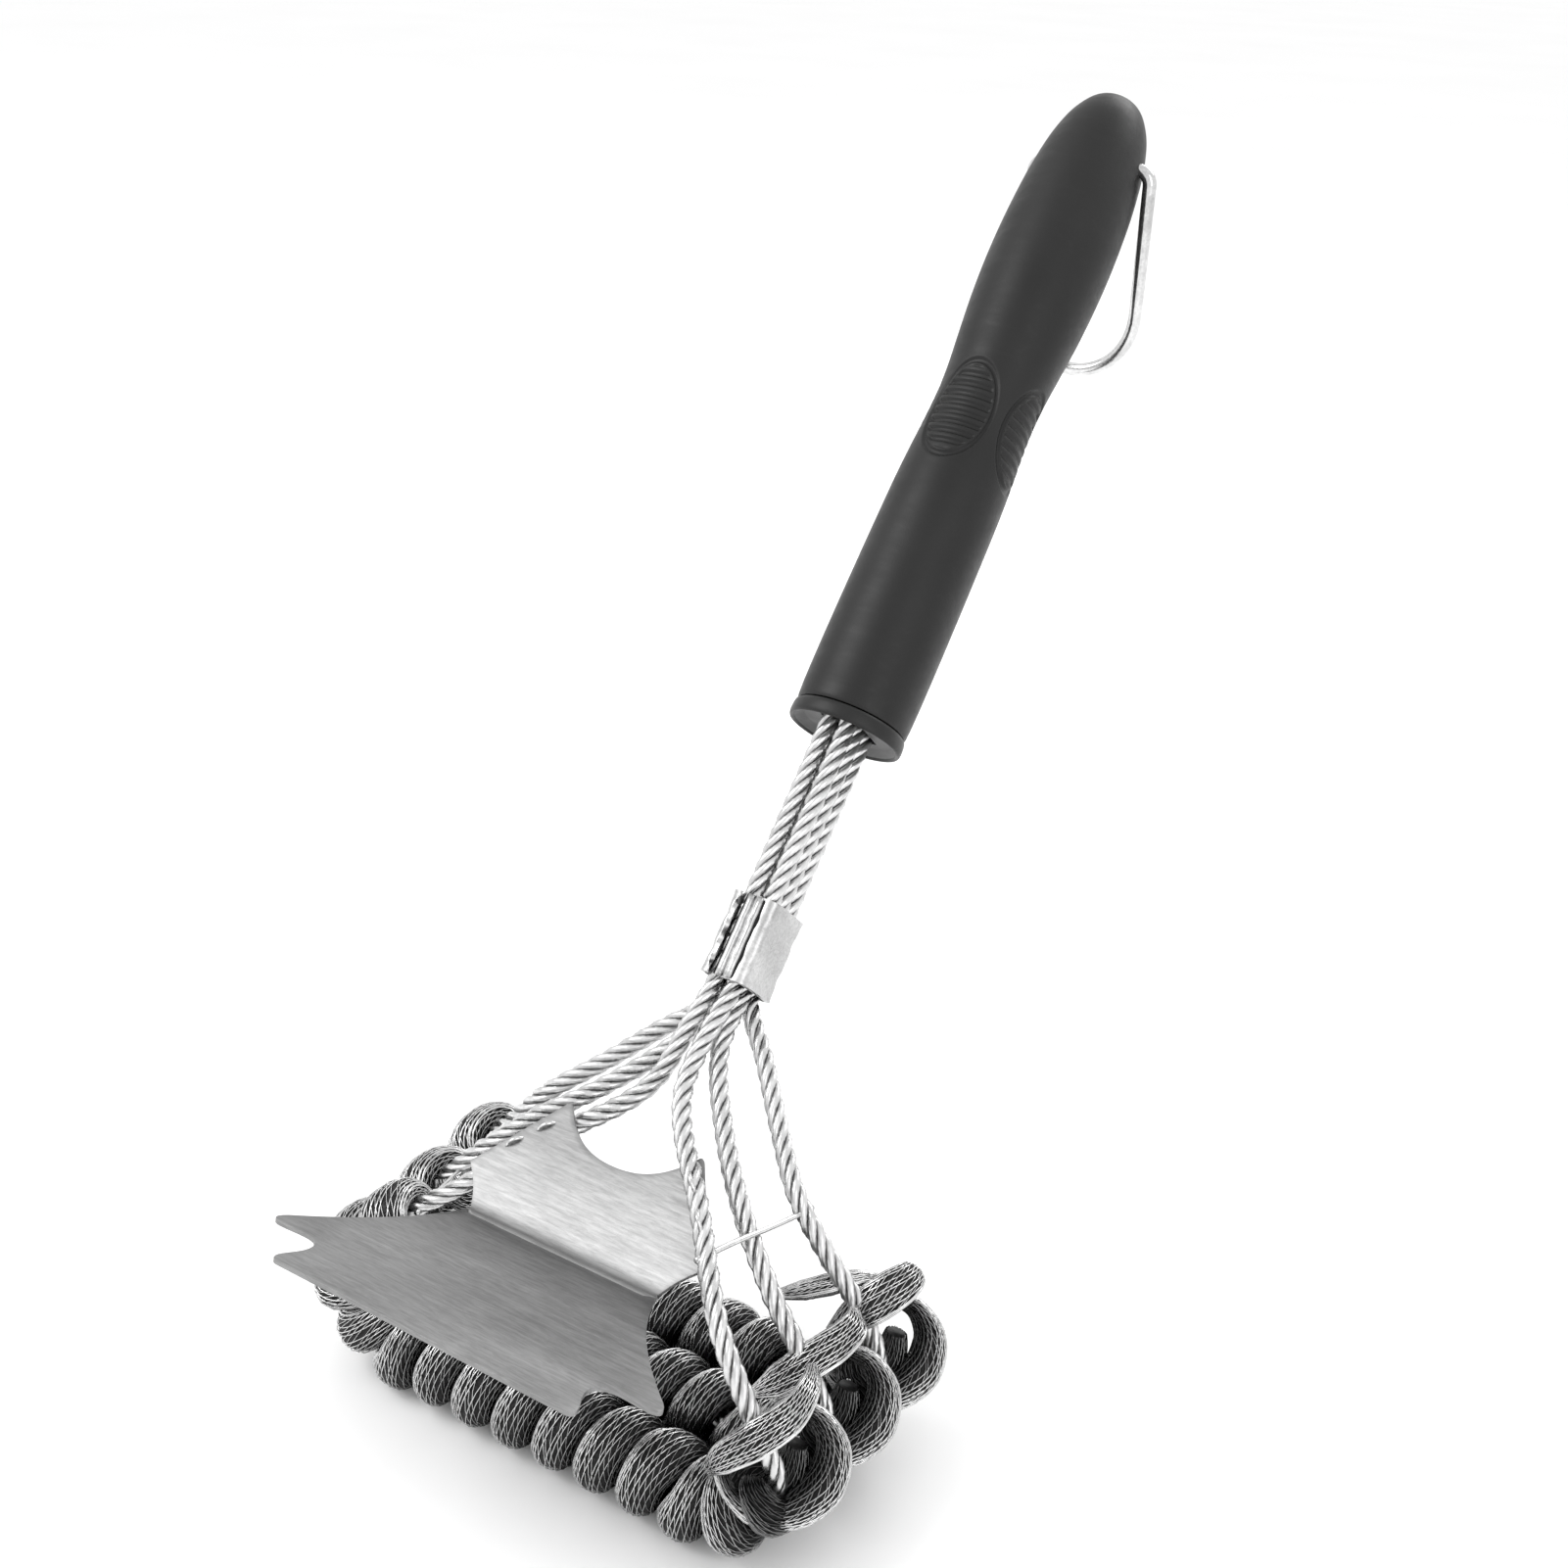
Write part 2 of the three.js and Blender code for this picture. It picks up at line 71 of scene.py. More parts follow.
TIE_RODS = {"left": [(-47.2, -19.5, 50.9), (-53.4, 27.5, 51.5)],
            "right": [(36.1, -13.8, 70.9), (42.9, 27.7, 63.5)]}
FOLD = np.array([0, -18.85, 60.2])
FOLD_HALF = 28.9
LOWER_DIR = np.array([0, -0.9768, 0.2142])
UPPER_DIR = np.array([0, 0.8572, 0.515])
STAPLES = [28, 20]
X, Y, Z = np.eye(3)

UP_HANDLE = np.array([0, math.cos(NECK_TILT), math.sin(NECK_TILT)])
HANDLE_START = FERRULE_BOTTOM + UP_HANDLE * (FERRULE_LENGTH + NECK_LENGTH)
BACK_HANDLE = np.cross(UP_HANDLE, X)


def unit(v):
    v = np.asarray(v, float)
    return v / np.maximum(np.linalg.norm(v, axis=-1, keepdims=True), 1e-12)


def on_handle(x, y, h):
    x, y, h = np.broadcast_arrays(np.asarray(x, float), y, h)
    return HANDLE_START + x[..., None] * X + y[..., None] * BACK_HANDLE + h[..., None] * UP_HANDLE


# ---- curves ----
def centripetal(points, per_span=16):
    """Centripetal Catmull-Rom through the points, the same curve as the CAD's."""
    p = np.asarray(points, float)
    p = np.vstack([2 * p[0] - p[1], p, 2 * p[-1] - p[-2]])
    out = []
    for a, b, c, d in zip(p, p[1:], p[2:], p[3:]):
        da, db, dc = (max(np.linalg.norm(q - r) ** 0.5, 1e-4) for q, r in ((b, a), (c, b), (d, c)))
        t1 = ((b - a) / da - (c - a) / (da + db) + (c - b) / db) * db
        t2 = ((c - b) / db - (d - b) / (db + dc) + (d - c) / dc) * db
        t = np.linspace(0, 1, per_span, endpoint=False)[:, None]
        out.append(b + t1 * t + (-3 * b + 3 * c - 2 * t1 - t2) * t ** 2
                   + (2 * b - 2 * c + t1 + t2) * t ** 3)
    return np.vstack(out + [p[-2:-1]])


class Path:
    """A polyline read by arc length, with a frame (side, up) carried along it."""

    def __init__(self, points, side=None):
        self.p = np.asarray(points, float)
        self.s = np.concatenate([[0], np.cumsum(np.linalg.norm(np.diff(self.p, axis=0), axis=1))])
        self.length = self.s[-1]
        self.t = unit(np.gradient(self.p, self.s, axis=0))
        e = np.asarray(side if side is not None else (X if abs(self.t[0][0]) < 0.9 else Y), float)
        sides = []
        for t in self.t:
            e = unit(e - t * (e @ t))
            sides.append(e)
        self.e = np.array(sides)

    def at(self, s, field="p"):
        values = getattr(self, field)
        return np.stack([np.interp(s, self.s, values[:, k]) for k in range(3)], -1)

    def frame(self, s):
        t = unit(self.at(s, "t"))
        e = self.at(s, "e")
        e = unit(e - t * (e * t).sum(-1, keepdims=True))
        return self.at(s), t, e, np.cross(t, e)


def mirrored(points):
    return [[-x, y, z] for x, y, z in points]


def loop_path(name):
    layer = LAYER[name]
    neck = [on_handle(ROPE_PITCH / 2, layer * ROPE_PITCH, h).tolist()
            for h in (34, 4, -30, -60, -71, -FERRULE_LENGTH - NECK_LENGTH - 1.5)]
    run = [[x, layer * ROW_GAP, ROW_AXIS_Z] for x in (52, 34, 14)]
    other = FRONT_LEFT_LEG if name == "front" else LEGS[name]
    return Path(centripetal(neck + LEGS[name] + run + mirrored((neck + other + run)[::-1])))


LOOPS = {name: loop_path(name) for name in LAYER}


def where(path, test, from_left=False):
    """Arc length where the test is first met, followed from the right or the left end."""
    points = path.p[::-1] * [-1, 1, 1] if from_left else path.p
    lengths = path.s[::-1] if from_left else path.s
    return lengths[next(i for i, p in enumerate(points) if test(p))]


# ---- mesh helpers ----
def new_mesh(name, verts, faces, attributes=None):
    """Smooth mesh object from mm vertices; attributes hold one number per vertex."""
    mesh = bpy.data.meshes.new(name)
    verts = np.asarray(verts, float).reshape(-1, 3) / 1000
    mesh.from_pydata(verts.tolist(), [], [list(map(int, f)) for f in faces])
    mesh.polygons.foreach_set("use_smooth", [True] * len(mesh.polygons))
    for key, values in (attributes or {}).items():
        layer = mesh.attributes.new(key, "FLOAT", "POINT")
        layer.data.foreach_set("value", np.asarray(values, np.float32).ravel())
    mesh.update()
    obj = bpy.data.objects.new(name, mesh)
    bpy.context.scene.collection.objects.link(obj)
    return obj


def grid_faces(rows, cols, wrap_rows=False, wrap_cols=True, offset=0):
    """Quads over a grid of rows x cols vertices."""
    i = np.arange(rows if wrap_rows else rows - 1)
    j = np.arange(cols if wrap_cols else cols - 1)
    i, j = (a.ravel() for a in np.meshgrid(i, j, indexing="ij"))
    i2, j2 = (i + 1) % rows, (j + 1) % cols
    return np.stack([i * cols + j, i * cols + j2, i2 * cols + j2, i2 * cols + j], 1) + offset


def tube_rings(points, normals, binormals, radius, sides):
    a = 2 * np.pi * np.arange(sides) / sides
    return (points[:, None] + radius * (np.cos(a)[None, :, None] * normals[:, None]
                                        + np.sin(a)[None, :, None] * binormals[:, None]))


def tube(name, points, radius, sides=12, closed=False):
    """Round wire along points (mm), capped at its ends unless closed."""
    p = np.asarray(points, float)
    if closed:
        t = unit(np.roll(p, -1, 0) - np.roll(p, 1, 0))
        ref = unit(np.cross(p[1] - p[0], p[3] - p[0]))
        n = np.repeat(ref[None], len(p), 0)
        rings = tube_rings(p, n, np.cross(t, n), radius, sides)
        return new_mesh(name, rings, grid_faces(len(p), sides, wrap_rows=True))
    path = Path(p)
    rings = tube_rings(p, path.e, np.cross(path.t, path.e), radius, sides)
    faces = grid_faces(len(p), sides).tolist()
    faces += [list(range(sides))[::-1], list(range((len(p) - 1) * sides, len(p) * sides))]
    return new_mesh(name, rings, faces)


def thicken(obj, thickness):
    """Sheet thickness in mm, half to each side."""
    solid = obj.modifiers.new("thickness", "SOLIDIFY")
    solid.thickness = thickness / 1000
    solid.offset = 0


def bevel_edges(obj, width, sharper_than=None):
    """Bevel of a width in mm, on edges sharper than an angle in degrees."""
    bevel = obj.modifiers.new("edge", "BEVEL")
    bevel.width = width / 1000
    bevel.segments = 2
    if sharper_than:
        bevel.limit_method = "ANGLE"
        bevel.angle_limit = math.radians(sharper_than)


def ride(obj, material, body="brush", replaces=()):
    obj.data.materials.clear()
    obj.data.materials.append(material)
    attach(obj, body)
    if replaces:
        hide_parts(*replaces)
    return obj


# ---- materials ----
class Nodes:
    """Short-hand for one material's node tree."""

    def __init__(self, name):
        self.mat = bpy.data.materials.new(name)
        self.mat.use_nodes = True
        self.tree = self.mat.node_tree
        self.bsdf = self.tree.nodes["Principled BSDF"]

    def add(self, kind, inputs=None, **settings):
        node = self.tree.nodes.new(kind)
        for key, value in settings.items():
            setattr(node, key, value)
        for key, value in (inputs or {}).items():
            if isinstance(value, bpy.types.NodeSocket):
                self.tree.links.new(value, node.inputs[key])
            else:
                node.inputs[key].default_value = value
        return node

    def link(self, a, b):
        self.tree.links.new(a, b)

    def coords(self, scale):
        tc = self.add("ShaderNodeTexCoord")
        return self.add("ShaderNodeMapping", {"Vector": tc.outputs["Object"], "Scale": scale}).outputs[0]

    def noise(self, vector, scale, detail=4.0, rough=0.55, distortion=0.0):
        node = self.add("ShaderNodeTexNoise", {"Vector": vector, "Scale": scale, "Detail": detail,
                                               "Roughness": rough, "Distortion": distortion})
        return node.outputs["Fac"]

    def ramp(self, fac, stops):
        node = self.add("ShaderNodeValToRGB", {"Fac": fac})
        els = node.color_ramp.elements
        while len(els) < len(stops):
            els.new(0.5)
        for el, (pos, v) in zip(els, stops):
            el.position = pos
            el.color = (v, v, v, 1) if np.isscalar(v) else (*v, 1)
        return node.outputs["Color"]

    def mix(self, fac, a, b, blend="MIX"):
        node = self.add("ShaderNodeMix", data_type="RGBA", blend_type=blend)
        for slot, value in ((0, fac), (6, a), (7, b)):
            if isinstance(value, bpy.types.NodeSocket):
                self.link(value, node.inputs[slot])
            elif slot == 0:
                node.inputs[slot].default_value = value
            else:
                node.inputs[slot].default_value = (value,) * 3 + (1,) if np.isscalar(value) else (*value, 1)
        return node.outputs[2]

    def math(self, op, a, b=0.0):
        node = self.add("ShaderNodeMath", operation=op)
        for k, value in enumerate((a, b)):
            if isinstance(value, bpy.types.NodeSocket):
                self.link(value, node.inputs[k])
            else:
                node.inputs[k].default_value = value
        return node.outputs[0]

    def attribute(self, name):
        return self.add("ShaderNodeAttribute", attribute_name=name).outputs["Fac"]

    def bump(self, height, strength, distance):
        node = self.add("ShaderNodeBump", {"Height": height, "Strength": strength,
                                           "Distance": distance})
        self.link(node.outputs[0], self.bsdf.inputs["Normal"])

    def finish(self, color=None, rough=None, metal=0.0):
        if color is not None:
            self.link(color, self.bsdf.inputs["Base Color"])
        if rough is not None:
            self.link(rough, self.bsdf.inputs["Roughness"])
        self.bsdf.inputs["Metallic"].default_value = metal
        return self.mat


def rope_material(name, bright, dark):
    """Drawn stainless wire: painted highlight on the strands' outer crowns, painted shade between the
    strands, fine draw lines.
    """
    n = Nodes(name)
    v = n.coords((1, 1, 1))
    streak = n.noise(n.coords((900, 900, 250)), 1.0, 3, 0.6)
    patch = n.noise(v, 90.0, 3)
    # painted highlight on the outer crowns, painted shade in the crevices between strands
    painted_light = n.ramp(n.attribute("painted_light"), [(0.0, dark), (0.30, dark * 1.6), (0.62, bright * 0.82),
                                          (1.0, bright)])
    color = n.mix(0.35, painted_light, n.ramp(patch, [(0.35, bright * 0.55), (0.65, bright)]), "MULTIPLY")
    color = n.mix(0.30, color, n.ramp(streak, [(0.3, 0.45), (0.7, 1.0)]), "MULTIPLY")
    n.bump(streak, 0.25, 0.0002)
    return n.finish(color, n.ramp(patch, [(0.3, 0.22), (0.7, 0.38)]), 1.0)


def wire_material(name, bright, rough=0.3, toned=False):
    """Drawn wire with patches of tarnish; toned wire is also darkened by the painted shade stored on its
    vertices.
    """
    n = Nodes(name)
    v = n.coords((1, 1, 1))
    patch = n.noise(v, 160.0, 4)
    spots = n.noise(v, 1400.0, 2)
    color = n.mix(0.5, n.ramp(patch, [(0.32, bright * 0.7), (0.68, bright)]),
                  n.ramp(spots, [(0.3, 0.6), (0.7, 1.0)]), "MULTIPLY")
    if toned:
        # painted shade from the vertex value
        tone = n.ramp(n.attribute("painted_light"), [(0.1, 0.12), (0.45, 0.6), (0.85, 1.0)])
        color = n.mix(1.0, color, tone, "MULTIPLY")
    n.bump(spots, 0.15, 0.0001)
    return n.finish(color, n.ramp(patch, [(0.3, rough * 0.7), (0.7, rough * 1.4)]), 1.0)


def weave_material(name):
    """The inside of a sleeve seen between its wires: painted near black as shade, darker still by the
    painted shade stored on its vertices.
    """
    n = Nodes(name)
    patch = n.noise(n.coords((1, 1, 1)), 120.0, 3)
    flecks = n.noise(n.coords((1, 1, 1)), 1100.0, 3, 0.7)
    color = n.mix(1.0, n.ramp(n.attribute("painted_light"), [(0.2, 0.003), (0.9, 0.02)]),
                  n.ramp(flecks, [(0.45, 0.5), (0.68, 2.2)]), "MULTIPLY")
    n.bump(flecks, 0.5, 0.0004)
    return n.finish(color, n.ramp(patch, [(0.3, 0.45), (0.7, 0.65)]), 0.6)


def sheet_material(name, low, high, rough, stretch=(14, 700, 700), bent=False):
    """Brushed sheet: long fine grain along X, short scratches, faint cloudy stains."""
    n = Nodes(name)
    grain = n.noise(n.coords(stretch), 1.0, 6, 0.65)
    scratches = n.noise(n.coords((160, 1300, 1300)), 1.0, 4, 0.7, 0.5)
    cloud = n.noise(n.coords((1, 1, 1)), 38.0, 4)
    base = n.ramp(grain, [(0.30, low), (0.70, high)])
    base = n.mix(0.50, base, n.ramp(scratches, [(0.35, 0.5), (0.62, 1.0)]), "MULTIPLY")
    base = n.mix(0.40, base, n.ramp(cloud, [(0.35, 0.6), (0.65, 1.0)]), "MULTIPLY")
    # painted highlight and shade across the fold, by height on the sheet
    if bent:
        place = n.add("ShaderNodeSeparateXYZ", {"Vector": n.coords((1, 10, 1))}).outputs[1]
        tone = n.ramp(n.math("ADD", place, 0.75), FOLD_LIGHT_TONES)
        base = n.mix(1.0, base, tone, "MULTIPLY")
    n.bump(n.mix(0.5, grain, scratches), 0.25, 0.00015)
    return n.finish(base, n.ramp(grain, [(0.3, rough), (0.7, rough + 0.18)]), 1.0)


def plastic_material(name, low, high, rough):
    """Moulded polypropylene: fine spark-eroded grain, slight sheen changes, a few rub marks."""
    n = Nodes(name)
    v = n.coords((1, 1, 1))
    grain = n.noise(v, 2600.0, 3, 0.6)
    cloud = n.noise(v, 28.0, 4)
    rub = n.noise(n.coords((40, 300, 300)), 1.0, 5, 0.6, 0.6)
    color = n.ramp(cloud, [(0.3, low), (0.7, high)])
    color = n.mix(0.4, color, n.ramp(rub, [(0.55, 1.0), (0.75, 1.5)]), "MULTIPLY")
    n.bump(grain, 0.35, 0.00012)
    n.bsdf.inputs["Specular IOR Level"].default_value = 0.3
    return n.finish(color, n.ramp(rub, [(0.3, rough), (0.72, rough - 0.12)]), 0.0)


ROPE = rope_material("twisted_steel", 0.86, 0.02)
# near-black wire standing in for the shadow in the ferrule's crevices
CREVICE_SHADOW = wire_material("painted_crevice_shadow", 0.03, 0.5)
WIRE = wire_material("sleeve_wire", 1.0, 0.22, toned=True)
BRIGHT = wire_material("bright_wire", 0.85, 0.16)
WEAVE = weave_material("sleeve_weave")
# painted light on the sheet against y / 100 mm + 0.75: a painted highlight on the fold at 0.56, a band of
# painted shade just below it, the upper panel painted darker towards its top, and the panel below the fold
# painted darker for its dim reflection
FOLD_LIGHT_TONES = [(0.04, 0.47), (0.37, 0.42), (0.48, 0.31), (0.53, 0.23), (0.555, 0.34), (0.585, 0.62),
              (0.66, 0.55), (0.86, 0.42)]
SHEET_STEEL = sheet_material("scraper_sheet", 0.66, 0.84, 0.42, bent=True)
BAND = sheet_material("crimp_band", 0.5, 0.75, 0.25, (500, 60, 60))
GRIP = plastic_material("grip_plastic", 0.007, 0.012, 0.5)
COLLAR = plastic_material("collar_plastic", 0.009, 0.014, 0.46)
COLLAR_FLOOR = plastic_material("collar_floor", 0.11, 0.17, 0.6)

# ---- camera ----
CAMERA_AT = (242.49, -317.36, 367.77)
CAMERA_RIGHT = (0.84121, 0.53947, 0.03653)
CAMERA_UP = (-0.25753, 0.34033, 0.90435)
CAMERA_BACK = (0.47544, -0.77016, 0.42522)
LENS = 44.80
cam_data = bpy.data.cameras.new("camera")
cam_data.lens = LENS
cam_data.sensor_width = 36.0
cam_data.clip_start, cam_data.clip_end = 0.01, 20.0
camera = bpy.data.objects.new("camera", cam_data)
basis = Matrix((CAMERA_RIGHT, CAMERA_UP, CAMERA_BACK)).transposed()
camera.matrix_world = Matrix.Translation(Vector(CAMERA_AT) / 1000) @ basis.to_4x4()
bpy.context.scene.collection.objects.link(camera)
bpy.context.scene.camera = camera


# ---- twisted ropes ----
STRANDS = 4
STRAND_R = 1.13
STRAND_OFFSET = ROPE_R - STRAND_R
LAY = 19.0        # mm of rope per turn of a strand
RUN_HALF, RUN_TOP_Z = 38, 17.5        # a rope's run ends where the rope passes both of these


def twisted_rope(name, path, start, end, replaces):
    steps = int((end - start) / LAY * 14)
    s = np.linspace(start, end, steps)
    c, t, e, f = path.frame(s)
    verts, faces, painted_light = [], [], []
    sides = 8
    a = 2 * np.pi * np.arange(sides) / sides
    for k in range(STRANDS):
        w = 2 * np.pi * (s / LAY + k / STRANDS)
        rho = np.cos(w)[:, None] * e + np.sin(w)[:, None] * f
        centre = c + STRAND_OFFSET * rho
        along = unit(np.gradient(centre, axis=0))
        rho = unit(rho - along * (rho * along).sum(-1, keepdims=True))
        rings = tube_rings(centre, rho, np.cross(along, rho), STRAND_R, sides)
        base = len(verts) * steps * sides
        verts.append(rings.reshape(-1, 3))
        # painted light per strand vertex: 1 on the crown facing out from the rope's axis, 0 in the shade
        # between strands
        painted_light.append(np.tile(0.5 + 0.5 * np.cos(a), steps))
        faces += grid_faces(steps, sides, offset=base).tolist()
        faces += [list(range(base, base + sides))[::-1],
                  list(range(base + (steps - 1) * sides, base + steps * sides))]
    obj = new_mesh(name, np.vstack(verts), faces, attributes={"painted_light": np.concatenate(painted_light)})
    return ride(obj, ROPE, replaces=replaces)


for name, path in LOOPS.items():
    past_bend = (lambda p: p[0] < RUN_HALF and p[2] < RUN_TOP_Z)
    right, left = where(path, past_bend), where(path, past_bend, True)
    twisted_rope(f"{name}_right_rope", path, 0, right, [f"{name}_right_leg"])
    twisted_rope(f"{name}_run_rope", path, right + 0.3, left - 0.3, [f"{name}_run"])
    twisted_rope(f"{name}_left_rope", path, left, path.length, [f"{name}_left_leg"])


# ---- woven sleeves, coiled round the rope ----
TURN_STEPS = 26
BRAID_WIRES = 24
BRAID_LEAD = 64.0      # mm of sleeve per turn of a braid wire
# reach of a coil from the rope's axis: under the run, to its sides, over it and inside the end bends
SPAN_UNDER, SPAN_SIDE, SPAN_OVER, SPAN_BEND = 10.9, 11.5, 12.4, 9.6
LOBE_R = 5.0               # half-thickness of the wound sleeve
LOBE_HALF_WIDTH = 5.8
SLEEVE_START_Z = 26        # height on the right legs where the coils begin
SLEEVE_END_Z = 51          # height on the left legs where they end


class Sleeve:
    """A woven tube along a centre line: a near-black ground as painted shade inside, two families of wires
    braided over it, both darkened by painted shade.
    """

    def __init__(self, name, centre, rho, beta, radial, axial, shade, replaces=(), dimming=1.0):
        self.name, self.centre, self.rho, self.beta = name, centre, rho, beta
        self.radial, self.axial, self.shade, self.dimming = radial, axial, shade, dimming
        step = np.linalg.norm(np.diff(centre, axis=0), axis=1)
        self.length = np.concatenate([[0], np.cumsum(step)])
        self.ground(replaces)
        for family, (turn, radius, bright) in enumerate(((0.2, 0.22, 1.0), (-1, 0.14, 0.8))):
            self.braid(family, turn, radius, bright)
        self.edges()

    def point(self, phi, lift=0.0):
        phi = np.asarray(phi, float)
        if phi.ndim == 1:
            phi = np.broadcast_to(phi, (len(self.centre), len(phi)))
        co, si = np.cos(phi)[..., None], np.sin(phi)[..., None]
        r, a = (self.radial + lift)[:, None, None], (self.axial + lift)[:, None, None]
        rho, beta = self.rho[:, None], self.beta[:, None]
        q = self.centre[:, None] + r * co * rho + a * si * beta
        q[..., 2] = np.maximum(q[..., 2], 0.5)
        return q, unit(co * rho / r + si * beta / a)

    def darkness(self, phi):
        """Painted shade: the inner face and the far flank of every coil are the darkest."""
        tone = np.clip(0.54 + 0.54 * np.cos(phi + self.shade), 0, 1) ** 1.5
        return tone * np.reshape(self.dimming, (-1, 1))

    def ground(self, replaces):
        rows, cols = len(self.centre), 20
        phi = 2 * np.pi * np.arange(cols) / cols
        q, _ = self.point(phi, -0.3)
        faces = grid_faces(rows, cols).tolist()
        faces += [list(range(cols))[::-1], list(range((rows - 1) * cols, rows * cols))]
        # painted shade on the ground by section angle
        tone = self.darkness(np.broadcast_to(phi[None], (rows, cols)))
        obj = new_mesh(f"{self.name}_ground", q, faces, attributes={"painted_light": tone})
        ride(obj, WEAVE, replaces=replaces)

    def edges(self):
        """The folded edge of the flattened tube: two close bright wires down its lit flank only, a painted
        highlight.
        """
        phi = np.array([1.25, 1.45]) - self.shade * 0.1
        q, _ = self.point(phi, 0.1)
        q[..., 2] = np.maximum(q[..., 2], 0.3)
        for k in range(len(phi)):
            ride(tube(f"{self.name}_edge_{k}", q[:, k], 0.3, 5), BRIGHT)

    def braid(self, family, turn, radius, bright):
        rows = len(self.centre)
        k = np.arange(BRAID_WIRES)
        phi = 2 * np.pi * ((k + 0.12 * np.sin(k * 2.4))[None] / BRAID_WIRES
                           + turn * self.length[:, None] / BRAID_LEAD)
        phi = phi + 0.05 * np.sin(self.length[:, None] / 7 + k[None] * 1.7)
        q, n = self.point(phi, 0.02)
        over = 0.12 * np.cos(phi * BRAID_WIRES / 2 + family * np.pi)
        q = q + n * over[..., None]
        q[..., 2] = np.maximum(q[..., 2], radius)
        side = unit(np.cross(np.gradient(q, axis=0), n))
        r = radius
        corners = np.stack([q + n * r, q + side * r * 0.87 - n * r * 0.5,
                            q - side * r * 0.87 - n * r * 0.5], 2).transpose(1, 0, 2, 3)
        # painted shade on the braid wires by section angle
        tone = np.repeat((bright * self.darkness(phi)).T[..., None], 3, -1)
        faces = np.concatenate([grid_faces(rows, 3, offset=i * rows * 3) for i in range(BRAID_WIRES)])
        obj = new_mesh(f"{self.name}_braid_{family}", corners.reshape(-1, 3), faces,
                       attributes={"painted_light": tone})
        ride(obj, WIRE)


def coil(name, path, start, end, phase, replaces):
    """The sleeve of one row, wound round its rope from one leg to the other."""
    steps = int((end - start) / LOBE_PITCH * TURN_STEPS)
    s = np.linspace(start, end, steps)
    c, t, _, _ = path.frame(s)
    e = unit(Y - t * (t @ Y)[:, None])
    f = np.cross(t, e)                       # away from the inside of the loop
    theta = phase - 2 * np.pi * (s - start) / LOBE_PITCH
    swell = 1 + 0.05 * np.interp(-theta / (2 * np.pi), np.arange(-3, 30), rng.uniform(-1, 1, 33))
    taper = np.minimum(0.66 + 0.34 * np.clip((s - start) / 12, 0, 1) ** 0.6,
                       0.56 + 0.52 * np.clip((end - s) / 9, 0, 1) ** 0.6)
    taper = np.where(end - s < 40, taper, np.minimum(taper, 1))
    up = -np.sin(theta) * (f @ -Z)           # +1 over the rope on the run, -1 under it
    fat = (LOBE_R - 0.8 * up) * taper * swell
    under = np.maximum(f @ -Z, 0)
    reach = np.where(np.sin(theta) > 0, SPAN_BEND + (SPAN_UNDER - SPAN_BEND) * under, SPAN_OVER)
    ry, rz = SPAN_SIDE * taper - fat, reach * taper - fat
    centre = c + (ry * np.cos(theta))[:, None] * e + (rz * np.sin(theta))[:, None] * f
    along = unit(np.gradient(centre, axis=0))
    rho = unit(np.cos(theta)[:, None] * e + np.sin(theta)[:, None] * f)
    rho = unit(rho - along * (rho * along).sum(-1, keepdims=True))
    beta = np.cross(along, rho)
    beta *= np.sign((beta * t).sum(-1, keepdims=True))
    # the coils spread on the outside of the row's end bends and crowd on the inside
    spread = 1 - ((centre - c) * np.gradient(t, s, axis=0)).sum(-1)
    axial = LOBE_HALF_WIDTH * np.clip(spread, 0.8, 1.25) * taper * swell
    # darker over the first 18 mm of each sleeve, where it starts on the right leg
    dimming = np.clip((s - start) / 18, 0.2, 1)
    Sleeve(f"{name}_sleeve", centre, rho, beta, fat, axial, -0.7, replaces, dimming)


def coil_phase(path, start, x_low):
    """Phase that puts the bottom of a coil (theta = pi / 2) at x_low on the run."""
    on_run = path.p[:, 2] < ROW_AXIS_Z + 0.5
    s = np.interp(-x_low, -path.p[on_run, 0], path.s[on_run])
    return np.pi / 2 + 2 * np.pi * (s - start) / LOBE_PITCH


LOBE_BOTTOM_X = {"front": 42.0, "middle": 52.0, "back": 53.0}     # one lobe's lowest point in each row
for name, path in LOOPS.items():
    right_end = where(path, lambda p: p[2] < SLEEVE_START_Z)
    left_end = where(path, lambda p: p[2] < SLEEVE_END_Z, True)
    coil(name, path, right_end, left_end, coil_phase(path, right_end, LOBE_BOTTOM_X[name]),
         [f"{name}_mesh"])


# Past the last coil each sleeve is drawn flat, crossed over its rope and tucked in.
# Centre line relative to the row (x, y, z), half-width and half-thickness, mm.
STRAPS = {
    "front_strap": ((52, -7, 29, 1.5, 0.7), (58, -9, 37.5, 3.4, 1.2), (64.5, -5, 43.5, 4.2, 1.6),
                    (68.5, 2, 47, 3.8, 1.5), (68, 11, 48.5, 2.6, 1.2), (64, 19, 46, 1.5, 1.0)),
    "middle_strap": ((49, -7, 32.5, 1.2, 0.7), (55.5, -5, 39, 3.8, 1.2), (60.5, -1, 43.5, 4.6, 1.8),
                     (64.5, 6, 46.5, 4.4, 1.7), (65.5, 12, 48, 3.4, 1.4), (62, 18, 46.5, 1.5, 1.0)),
    "back_strap": ((56, -6, 36.5, 2.0, 0.8), (60, -2, 41.5, 4.2, 1.5), (65, 3, 46.5, 5.2, 2.4),
                   (68, 9, 49, 5.0, 2.6), (67.5, 14, 48, 3.6, 2.2), (64, 16, 44.5, 1.6, 1.0)),
    "back_tuck": ((42, -9, 44.5, 1.2, 0.8), (47, -5, 45.5, 3.0, 1.8), (52, 0, 46.5, 3.4, 2.0),
                  (57, 5, 47.5, 2.6, 1.6), (60, 9, 46.5, 1.4, 1.0)),
}
